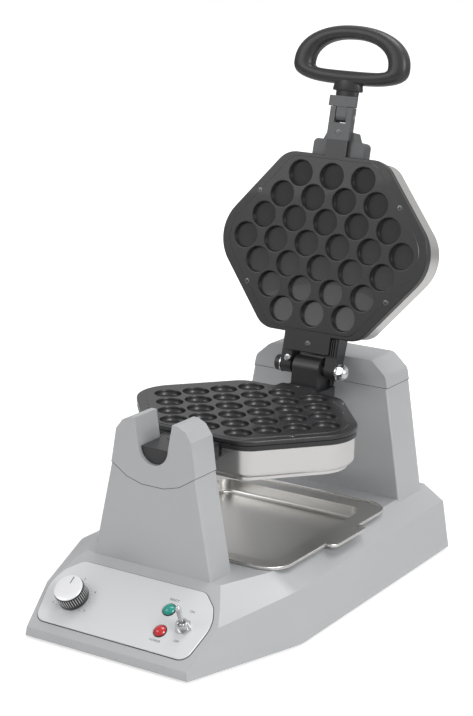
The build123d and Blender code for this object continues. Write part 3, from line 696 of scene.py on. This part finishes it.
left_side = [(-x - PANEL_MORE_LEFT, up) for x, up in reversed(PANEL_SIDE)]
panel_path = rounded_path(PANEL_SIDE + left_side, PANEL_ROUNDS + PANEL_ROUNDS[::-1], PANEL_STEPS)
panel = flat_plate("panel", panel_path, PANEL_TOP, PANEL_CHAMFER)
on_slope("panel_plate", panel, "panel_face", "base", (0, 0), ("control_panel",))
line = flat_plate("panel line", inset(panel_path, -LINE_WIDTH), LINE_TOP, LINE_CHAMFER)
on_slope("panel_line", line, "rim_black", "base", (0, 0))


# Dial: skirt, cap, ribs and pointer, as (radius, height) from the slope
DIAL_PLACE = (-57.5, 40.6)
DIAL_SIDES = 72
SKIRT_PROFILE = [(14.0, 1.7), (14.8, 1.9), (14.9, 2.6), (14.4, 14.6), (14.1, 15.5), (13.6, 15.9)]
CAP_PROFILE = [(13.3, 15.2), (13.9, 15.6), (13.9, 16.4), (13.5, 16.9), (12.9, 17.1), (6, 17.3), (0.6, 17.35)]
CAP_SHARP_FROM = 25
RIB_SIDES = 8
RIB_SIZES = {"Count": 40, "Ring Radius": 14.6, "Rib Radius": 0.2, "Height": 11.0}
RIB_MIDDLE = 8.9
POINTER_HALF = 0.35
POINTER_REACH = (4.5, 11.8)
POINTER_HEIGHTS = (17.0, 17.42)


def rib_tree():
    """A ring of upright round ribs."""
    inputs = [("Count", "Int"), ("Ring Radius", "Float"), ("Rib Radius", "Float"), ("Height", "Float")]
    sheet, given, outlet = new_tree("dial ribs", inputs)
    values = {"Vertices": given["Count"], "Radius": given["Ring Radius"]}
    ring = sheet.node("GeometryNodeMeshCircle", (), values)
    values = {"Vertices": RIB_SIDES, "Radius": given["Rib Radius"], "Depth": given["Height"]}
    rib = sheet.node("GeometryNodeMeshCylinder", (), values)
    values = {"Points": ring.outputs[0], "Instance": rib.outputs[0]}
    copies = sheet.node("GeometryNodeInstanceOnPoints", (), values)
    return end_tree(sheet, copies, outlet, finishes["knob_silver"])


def bar(name, half, reach, heights):
    """A flat upright bar between two reaches and two heights."""
    path = rectangle(-half, half, *reach)
    return solid(name, stacked([(path, height) for height in heights]))


skirt = solid("skirt", lathe(SKIRT_PROFILE, DIAL_SIDES))
on_slope("dial_skirt", skirt, "knob_black", "dial", DIAL_PLACE, ("thermostat_knob",))
cap = solid("cap", lathe(CAP_PROFILE, DIAL_SIDES))
on_slope("dial_cap", cap, "knob_silver", "dial", DIAL_PLACE, ("knob_cap",), CAP_SHARP_FROM)
ribs = grown("ribs", raw_mesh("dial centre", [(0, 0, 0)]), rib_tree(), RIB_SIZES)
ribs.transform(Matrix.Translation((0, 0, RIB_MIDDLE)))
on_slope("dial_ribs", ribs, "knob_silver", "dial", DIAL_PLACE)
pointer = bar("pointer", POINTER_HALF, POINTER_REACH, POINTER_HEIGHTS)
on_slope("dial_pointer", pointer, "rim_black", "dial", DIAL_PLACE)


# Print on the panel, and black rings round its lamps, which are painted shade: they stand for the shade line
# at each lens's edge
PRINT_THICKNESS = 0.04
PRINT_LIFT = 0.03
PRINT_STEPS = 3
WORD_SIZE = 3.3
WORDS = {"READY": (40.7, 64.2), "POWER": (43.3, 20.6), "ON": (63.4, 57.5), "OFF": (63.4, 25.5)}
NUMBER_SIZE = 3.6
NUMBER_RING = 20.5
NUMBERS = range(1, 6)
NUMBER_START, NUMBER_STEP = 120, 60
TICKS = 21
TICKS_PER_LONG = 5
TICK_START, TICK_STEP = 132, 13.2
TICK_RING = 16.6
TICK_HALF = 0.14
TICK_LONG, TICK_SHORT = 1.6, 0.9
TICK_SUNK, TICK_PROUD = 0.2, 0.05
TICK_HEIGHTS = (PANEL_TOP - TICK_SUNK, PANEL_TOP + TICK_PROUD)
LAMPS = {"ready": (40.7, 53.5), "power": (43.3, 31.0)}
LAMP_SHADE_RING_PROFILE = [(5.7, 0.8), (6.7, 0.8), (6.7, 1.5), (6.3, 1.85), (5.7, 1.9)]
LAMP_SIDES = 40


def printed(text, size, x, up):
    """The mesh of a word that stands a hair proud of the panel."""
    curve = bpy.data.curves.new(text, "FONT")
    curve.body = text
    curve.size = size
    curve.align_x = "CENTER"
    curve.align_y = "CENTER"
    curve.extrude = PRINT_THICKNESS
    curve.resolution_u = PRINT_STEPS
    holder = bpy.data.objects.new(text, curve)
    bpy.context.scene.collection.objects.link(holder)
    mesh = evaluated_mesh(holder)
    bpy.data.objects.remove(holder)
    mesh.transform(Matrix.Translation((x, up, PANEL_TOP + PRINT_LIFT)))
    return mesh


numbers = []
for i, number in enumerate(NUMBERS):
    swing = math.radians(NUMBER_START - NUMBER_STEP * i)
    x = DIAL_PLACE[0] - NUMBER_RING * math.sin(swing)
    up = DIAL_PLACE[1] + NUMBER_RING * math.cos(swing)
    numbers.append(printed(str(number), NUMBER_SIZE, x, up))
on_slope("dial_numbers", joined("numbers", numbers), "legend_grey", "base", (0, 0))

words = [printed(text, WORD_SIZE, x, up) for text, (x, up) in WORDS.items()]
on_slope("panel_words", joined("words", words), "legend_grey", "base", (0, 0))

ticks = []
for k in range(TICKS):
    length = TICK_LONG if k % TICKS_PER_LONG == 0 else TICK_SHORT
    tick = bar("tick", TICK_HALF, (TICK_RING, TICK_RING + length), TICK_HEIGHTS)
    tick.transform(Matrix.Rotation(math.radians(TICK_START - TICK_STEP * k), 4, "Z"))
    ticks.append(tick)
on_slope("dial_ticks", joined("ticks", ticks), "legend_grey", "base", DIAL_PLACE)

# Black rings round the lamp lenses: a painted shade line at each lens's edge
for name, place in LAMPS.items():
    ring = solid("ring", lathe(LAMP_SHADE_RING_PROFILE, LAMP_SIDES))
    on_slope(name + "_lamp_ring", ring, "rim_black", "base", place)


# Wires along edges: dark seam wires of painted shade between the towers and their caps, and the tray's
# rolled edge
FACES_THAT_WAY = 0.6
SEAM_SHADE_WIRE = {"Thickness": 0.0006, "Sides": 6, "Finish": finishes["seam_shade_grey"]}
TRAY_WIRE = {"Thickness": 0.0016, "Sides": 10, "Finish": finishes["tray_edge_highlight"]}


def wire_tree():
    """Turns the edges it is given into round wires."""
    inputs = [("Thickness", "Float"), ("Sides", "Int"), ("Finish", "Material")]
    sheet, given, outlet = new_tree("wires", inputs)
    curve = sheet.node("GeometryNodeMeshToCurve", (), {0: given["Places"]})
    half = sheet.amount(given["Thickness"]) / 2
    values = {"Resolution": given["Sides"], "Radius": half}
    ring = sheet.node("GeometryNodeCurvePrimitiveCircle", (), values)
    values = {"Curve": curve.outputs[0], "Profile Curve": ring.outputs[0]}
    wire = sheet.node("GeometryNodeCurveToMesh", (), values)
    return end_tree(sheet, wire, outlet, given["Finish"])


def connected(edges):
    """Groups of edges that hang together."""
    left = set(edges)
    groups = []
    while left:
        group = [left.pop()]
        ends = list(group[0].verts)
        while ends:
            vertex = ends.pop()
            for edge in vertex.link_edges:
                if edge in left:
                    left.remove(edge)
                    group.append(edge)
                    ends.append(edge.other_vert(vertex))
        groups.append(group)
    return groups


def rim_of(node, facing):
    """The longest closed outline of the faces of a node that look one way, as a mesh of edges."""
    work = bmesh.new()
    work.from_mesh(frame["nodes"][node].data)
    bmesh.ops.remove_doubles(work, verts=work.verts, dist=DOUBLES)
    work.faces.ensure_lookup_table()
    flat = {f.index for f in work.faces if f.normal.dot(Vector(facing)) > FACES_THAT_WAY}
    border = [e for e in work.edges if len({f.index in flat for f in e.link_faces}) == 2]
    longest = max(connected(border), key=lambda group: sum(e.calc_length() for e in group))
    used = sorted({v for e in longest for v in e.verts}, key=lambda v: v.index)
    number = {v: i for i, v in enumerate(used)}
    mesh = bpy.data.meshes.new(node + " rim")
    mesh.from_pydata([tuple(v.co) for v in used], [tuple(number[v] for v in e.verts) for e in longest], [])
    work.free()
    return mesh


wires = wire_tree()
# Painted shade along the joint of each tower and its cap
for tower in ("front_tower", "rear_tower"):
    seam = grown("seam", rim_of(tower + "_cap", (0, 0, -1)), wires, SEAM_SHADE_WIRE)
    settle(tower + "_seam", seam, "seam_shade_grey", "base")
# The tray's rolled edge: a real rounded lip, drawn in a lighter steel that is a painted highlight
tray_edge = grown("tray edge", rim_of("drip_tray", (0, 0, 1)), wires, TRAY_WIRE)
settle("tray_rolled_edge", tray_edge, "tray_edge_highlight", "tray")


# Handle: a smooth loop with a swelling bar, and its neck
GRIP_UP = 8.2
LOOP_CENTRE = -183.0
LOOP_HALF_THICK = 9.0
LOOP_AROUND, LOOP_ACROSS = 112, 22
LOOP_FULLNESS = 0.82
LOOP_OUTER = {"wide": 65.0, "near": 20.0, "far": 39.5, "near_power": 2.9, "far_power": 2.15}
LOOP_INNER = {"wide": 42.5, "near": 6.0, "far": 25.5, "near_power": 4.5, "far_power": 2.2}
NECK_SIDES = 36
# Place along the handle, half width and half thickness; wider outside the tower's notch
NECK_STEPS = [
    (-151.2, 12.6, 6.0),
    (-156.6, 12.8, 6.2),
    (-156.8, 16.2, 8.4),
    (-158.2, 16.8, 8.8),
    (-166.0, 15.2, 8.4),
    (-171.0, 15.4, 8.2),
]
GRIP_SHARP_FROM = 40


def oval(angle, wide, near, far, near_power, far_power):
    """The reach of an oval from its centre in one direction, rounder on its far side."""
    across, along = math.cos(angle), math.sin(angle)
    deep, power = (near, near_power) if along > 0 else (far, far_power)
    return (abs(across / wide) ** power + abs(along / deep) ** power) ** (-1 / power)


def fuller(value):
    """Moves a sine or cosine outwards, so that a round section fills its corners more."""
    return math.copysign(abs(value) ** LOOP_FULLNESS, value)


def loop_mesh():
    vertices = []
    faces = []
    for angle in turns(LOOP_AROUND):
        ray = Vector((math.cos(angle), math.sin(angle), 0))
        outer = oval(angle, **LOOP_OUTER)
        inner = oval(angle, **LOOP_INNER)
        for swing in turns(LOOP_ACROSS):
            side, up = fuller(math.cos(swing)), fuller(math.sin(swing))
            spot = ray * ((outer + inner) / 2 + (outer - inner) / 2 * side)
            vertices.append(spot + Vector((0, LOOP_CENTRE, GRIP_UP + LOOP_HALF_THICK * up)))
    for start in range(0, len(vertices), LOOP_ACROSS):
        for j in range(LOOP_ACROSS):
            a = start + j
            b = start + (j + 1) % LOOP_ACROSS
            faces.append((a, (a + LOOP_ACROSS) % len(vertices), (b + LOOP_ACROSS) % len(vertices), b))
    return solid("loop", (vertices, faces))


def neck_mesh():
    rings = []
    for y, half, thick in NECK_STEPS:
        ring = [Vector((half * math.cos(a), y, GRIP_UP + thick * math.sin(a))) for a in turns(NECK_SIDES)]
        rings.append(ring)
    return solid("neck", skin(rings))


grip = joined("grip", [loop_mesh(), neck_mesh()])
grip.transform(opened_place())
settle("loop_handle", grip, "handle_black", "handle", ("handle_grip",), GRIP_SHARP_FROM)


# Hinge: a black knuckle on its left end, ribs beside its right ear and a stop screw on its left ear
KNUCKLE_X = -31.2
KNUCKLE_PROFILE = [(7.6, 0), (8.2, 0.6), (8.2, 6.2), (7.4, 7.2), (4.0, 7.4)]
KNUCKLE_SIDES = 36
HINGE_RIBS = (26.6, 28.9, 31.2)
HINGE_RIB_HALF = 0.5
HINGE_RIB_REACH = (92.0, 110.0)
HINGE_RIB_HEIGHTS = (-5.2, -2.6)
STOP_PLACE = (-21.5, 117.5, -2.6)

knuckle = solid("hinge knuckle", lathe(KNUCKLE_PROFILE, KNUCKLE_SIDES))
facing_left = Matrix.Rotation(-QUARTER_TURN, 4, "Y")
knuckle.transform(lower_place() @ Matrix.Translation((KNUCKLE_X, HINGE_Y, HINGE_UP)) @ facing_left)
settle("hinge_knuckle", knuckle, "black_casting", "head")

hinge_ribs = []
for x in HINGE_RIBS:
    path = rectangle(x - HINGE_RIB_HALF, x + HINGE_RIB_HALF, *HINGE_RIB_REACH)
    hinge_ribs.append(solid("rib", stacked([(path, height) for height in HINGE_RIB_HEIGHTS])))
put_on_head("hinge_ribs", joined("ribs", hinge_ribs), "black_casting", True)

stop = screws("stop screw", [STOP_PLACE], STOP_SCREW, "bright_metal")
put_on_head("stop_screw", stop, "bright_metal", True)


# Screws in the back of the rear tower, its cap and the housing, as (across, up) in millimetres
TOWER_SCREWS = [(-80, 84), (80, 84), (-68, 164), (68, 164), (-52, 190), (52, 190)]
HOUSING_SCREWS = [(-112, 20), (112, 20), (-98, 50), (98, 50)]


def back_screws(name, places, node):
    """Screws that face backwards from the hindmost face of a node."""
    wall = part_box(node)[1].y
    heads = screws(name, [(x, -up, 0) for x, up in places], BACK_SCREW, "bright_metal")
    facing_back = Matrix.Rotation(-QUARTER_TURN, 4, "X")
    heads.transform(Matrix.Translation((0, wall, 0)) @ facing_back @ Matrix.Scale(MM, 4))
    settle(name, heads, "bright_metal", "base")


back_screws("tower_back_screws", TOWER_SCREWS, "rear_tower")
back_screws("housing_back_screws", HOUSING_SCREWS, "base_housing")


# Camera at the photograph's place
PHOTO_HEIGHT = 716
FOCAL_PIXELS = 1896.785
SENSOR_HEIGHT = 36
CAMERA_PLACE = (0.9211, -1.4880, 0.7018)
CAMERA_YAW = math.radians(31.918)
CAMERA_RISE = math.radians(15.034)
CAMERA_ROLL = math.radians(1.306)
CAMERA_FAR = 50


def look_axes(yaw, rise, roll):
    """The camera's right, up and back axes as the columns of a turn."""
    right = Vector((math.cos(yaw), math.sin(yaw), 0))
    back = Vector((math.sin(yaw) * math.cos(rise), -math.cos(yaw) * math.cos(rise), math.sin(rise)))
    up = back.cross(right)
    rolled_right = math.cos(roll) * right + math.sin(roll) * up
    rolled_up = math.cos(roll) * up - math.sin(roll) * right
    return Matrix((rolled_right, rolled_up, back)).transposed()


lens = bpy.data.cameras.new("photo camera")
lens.sensor_fit = "VERTICAL"
lens.sensor_height = SENSOR_HEIGHT
lens.lens = SENSOR_HEIGHT * FOCAL_PIXELS / PHOTO_HEIGHT
lens.clip_end = CAMERA_FAR
camera = bpy.data.objects.new("photo camera", lens)
bpy.context.scene.collection.objects.link(camera)
look = look_axes(CAMERA_YAW, CAMERA_RISE, CAMERA_ROLL)
camera.matrix_world = Matrix.Translation(CAMERA_PLACE) @ look.to_4x4()
bpy.context.scene.camera = camera


# Soft studio light
def softbox(name, place, aim, width, power):
    light = bpy.data.lights.new(name, "AREA")
    light.shape = "DISK"
    light.size = width
    light.energy = power
    held = bpy.data.objects.new(name, light)
    held.location = place
    held.rotation_euler = (Vector(aim) - Vector(place)).to_track_quat("-Z", "Y").to_euler()
    bpy.context.scene.collection.objects.link(held)


softbox("key softbox", (2.3, -0.9, 1.5), (0, 0, 0.2), 1.2, 34)
softbox("front softbox", (-1.5, -2.0, 1.6), (0, 0, 0.25), 1.4, 14)
softbox("top softbox", (0.2, 0.5, 2.4), (0, 0, 0.2), 1.4, 26)

# The world is white to the camera, plain to surfaces, and brighter above in reflections
PLAIN_LEVEL = 0.36
GLOSSY_LOW = 0.22
GLOSSY_RISE = 0.6
GLOSSY_ACROSS = 0.12
HEIGHT_SLOPE, HEIGHT_START = 1.3, 0.35

world = bpy.data.worlds.new("studio")
bpy.context.scene.world = world
world.use_nodes = True
sky = Sheet(world.node_tree)
background = world.node_tree.nodes["Background"]
ray = sky.node("ShaderNodeLightPath").outputs
seen = sky.amount(ray["Is Camera Ray"]).larger(sky.amount(ray["Is Transmission Ray"]))
way = sky.node("ShaderNodeSeparateXYZ", (), {0: sky.node("ShaderNodeTexCoord").outputs["Generated"]}).outputs
height = (sky.amount(way["Z"]) * HEIGHT_SLOPE + HEIGHT_START).larger(0.0).smaller(1.0)
glossy_level = GLOSSY_LOW + height * GLOSSY_RISE + sky.amount(way["X"]) * GLOSSY_ACROSS
level = PLAIN_LEVEL + sky.amount(ray["Is Glossy Ray"]) * (glossy_level - PLAIN_LEVEL)
sky.put(background.inputs["Strength"], level + seen * (1 - level))
background.inputs["Color"].default_value = (1, 1, 1, 1)

# The floor is pale, and glows to the camera, more with distance, until it meets the white world
FLOOR_HALF = 6.0
FLOOR_GREY = (0.9, 0.9, 0.9, 1)
SEEN_GREY = (0.55, 0.55, 0.55, 1)
NEAR_GLOW = (0.66, 0.66, 0.66, 1)
FAR_GLOW = (1, 1, 1, 1)
NO_GLOW = (0, 0, 0, 1)
GLOW_START, GLOW_REACH = 0.5, 0.9

floor_shape = [(-FLOOR_HALF, -FLOOR_HALF, 0), (FLOOR_HALF, -FLOOR_HALF, 0)]
floor_shape += [(FLOOR_HALF, FLOOR_HALF, 0), (-FLOOR_HALF, FLOOR_HALF, 0)]
floor = bpy.data.objects.new("floor", raw_mesh("floor", floor_shape, [(0, 1, 2, 3)]))
bpy.context.scene.collection.objects.link(floor)
pale = bpy.data.materials.new("pale floor")
pale.use_nodes = True
ground = Sheet(pale.node_tree)
floor_shader = pale.node_tree.nodes["Principled BSDF"]
floor_shader.inputs["Roughness"].default_value = 1.0
floor_shader.inputs["Specular IOR Level"].default_value = 0.0
floor_shader.inputs["Emission Strength"].default_value = 1.0


def mixed(factor, first, second):
    """A colour between two, by a factor from 0 to 1."""
    values = {"Factor": factor, 6: first, 7: second}
    return ground.node("ShaderNodeMix", {"data_type": "RGBA"}, values).outputs[2]


eye = ground.amount(ground.node("ShaderNodeLightPath").outputs["Is Camera Ray"])
spot = ground.node("ShaderNodeTexCoord").outputs["Object"]
away = ground.node("ShaderNodeVectorMath", {"operation": "LENGTH"}, {0: spot}).outputs["Value"]
far = ((ground.amount(away) - GLOW_START) / GLOW_REACH).larger(0.0).smaller(1.0)
ground.put(floor_shader.inputs["Base Color"], mixed(eye, FLOOR_GREY, SEEN_GREY))
ground.put(floor_shader.inputs["Emission Color"], mixed(eye, NO_GLOW, mixed(far, NEAR_GLOW, FAR_GLOW)))
floor.data.materials.append(pale)

bpy.context.scene.view_settings.view_transform = "Standard"
